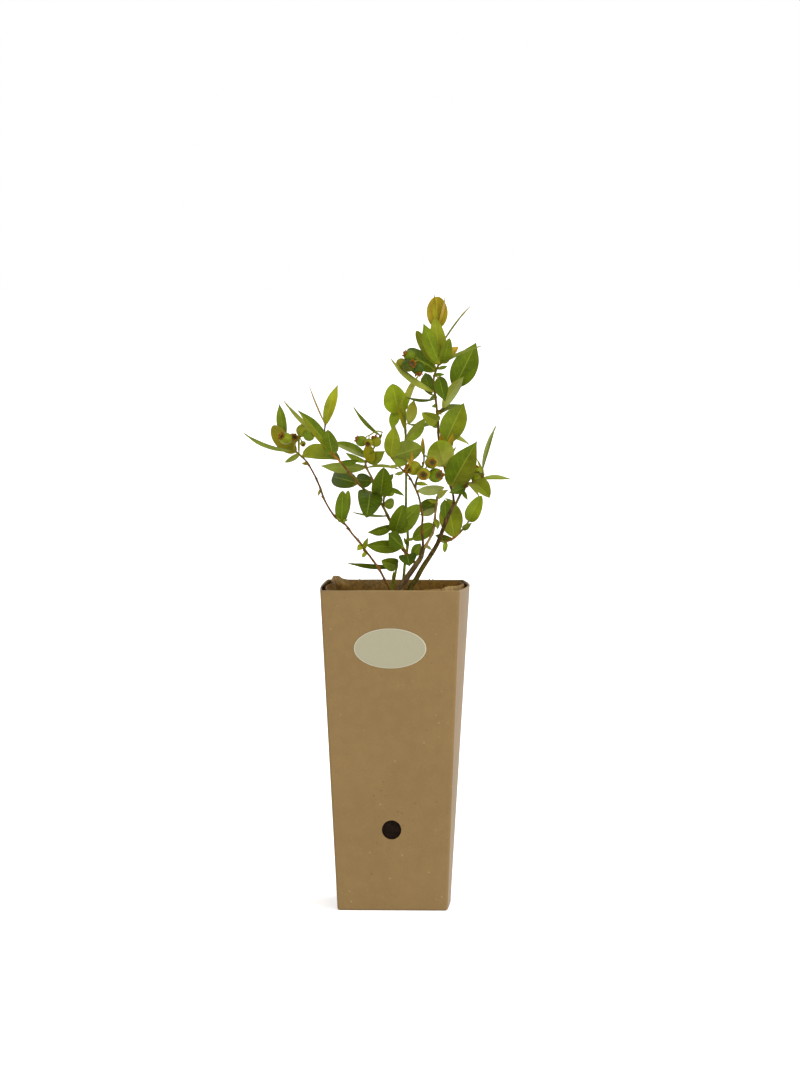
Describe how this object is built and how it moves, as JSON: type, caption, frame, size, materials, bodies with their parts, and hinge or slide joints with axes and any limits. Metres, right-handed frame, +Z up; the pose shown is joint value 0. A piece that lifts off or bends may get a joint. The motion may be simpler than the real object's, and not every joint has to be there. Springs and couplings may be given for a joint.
{
  "type": "potted blueberry bush",
  "caption": "Young blueberry bush with leafy shoots and bunches of unripe green berries, growing in soil in a tall tapered kraft carton with a paper liner and an oval label.",
  "frame": {"origin": "centre of the carton's underside, on the surface it stands on", "axes": "+Z up along the plant, +X to the right of someone facing the label, -Y towards them"},
  "size_m": [0.2235, 0.1158, 0.5067],
  "materials": {
    "kraft_board": "matt, speckled with soil",
    "label_paper": "matt cream paper",
    "kraft_paper": "matt, crumpled and stained",
    "peat_soil": "dark, damp and crumbly",
    "bark_brown": "matt bark",
    "bark_green": "smooth young bark",
    "leaf": "satin, paler and duller underneath",
    "berry": "smooth with a waxy bloom"
  },
  "bodies": {
    "root": {"carton": "kraft_board", "label": "label_paper", "paper_liner": "kraft_paper", "soil": "peat_soil", "cane_brown": "bark_brown", "cane_green": "bark_green", "shoot_left": "leaf", "shoot_mid_left": "leaf", "shoot_upright": "leaf", "sucker": "leaf", "shoot_dark": "leaf", "shoot_pale": "leaf", "leader": "leaf", "shoot_right": "leaf", "shoot_low_right": "leaf", "bunch_left": "berry", "bunch_mid_left": "berry", "bunch_middle": "berry", "bunch_top": "berry", "bunch_right": "berry"}
  },
  "joints": []
}
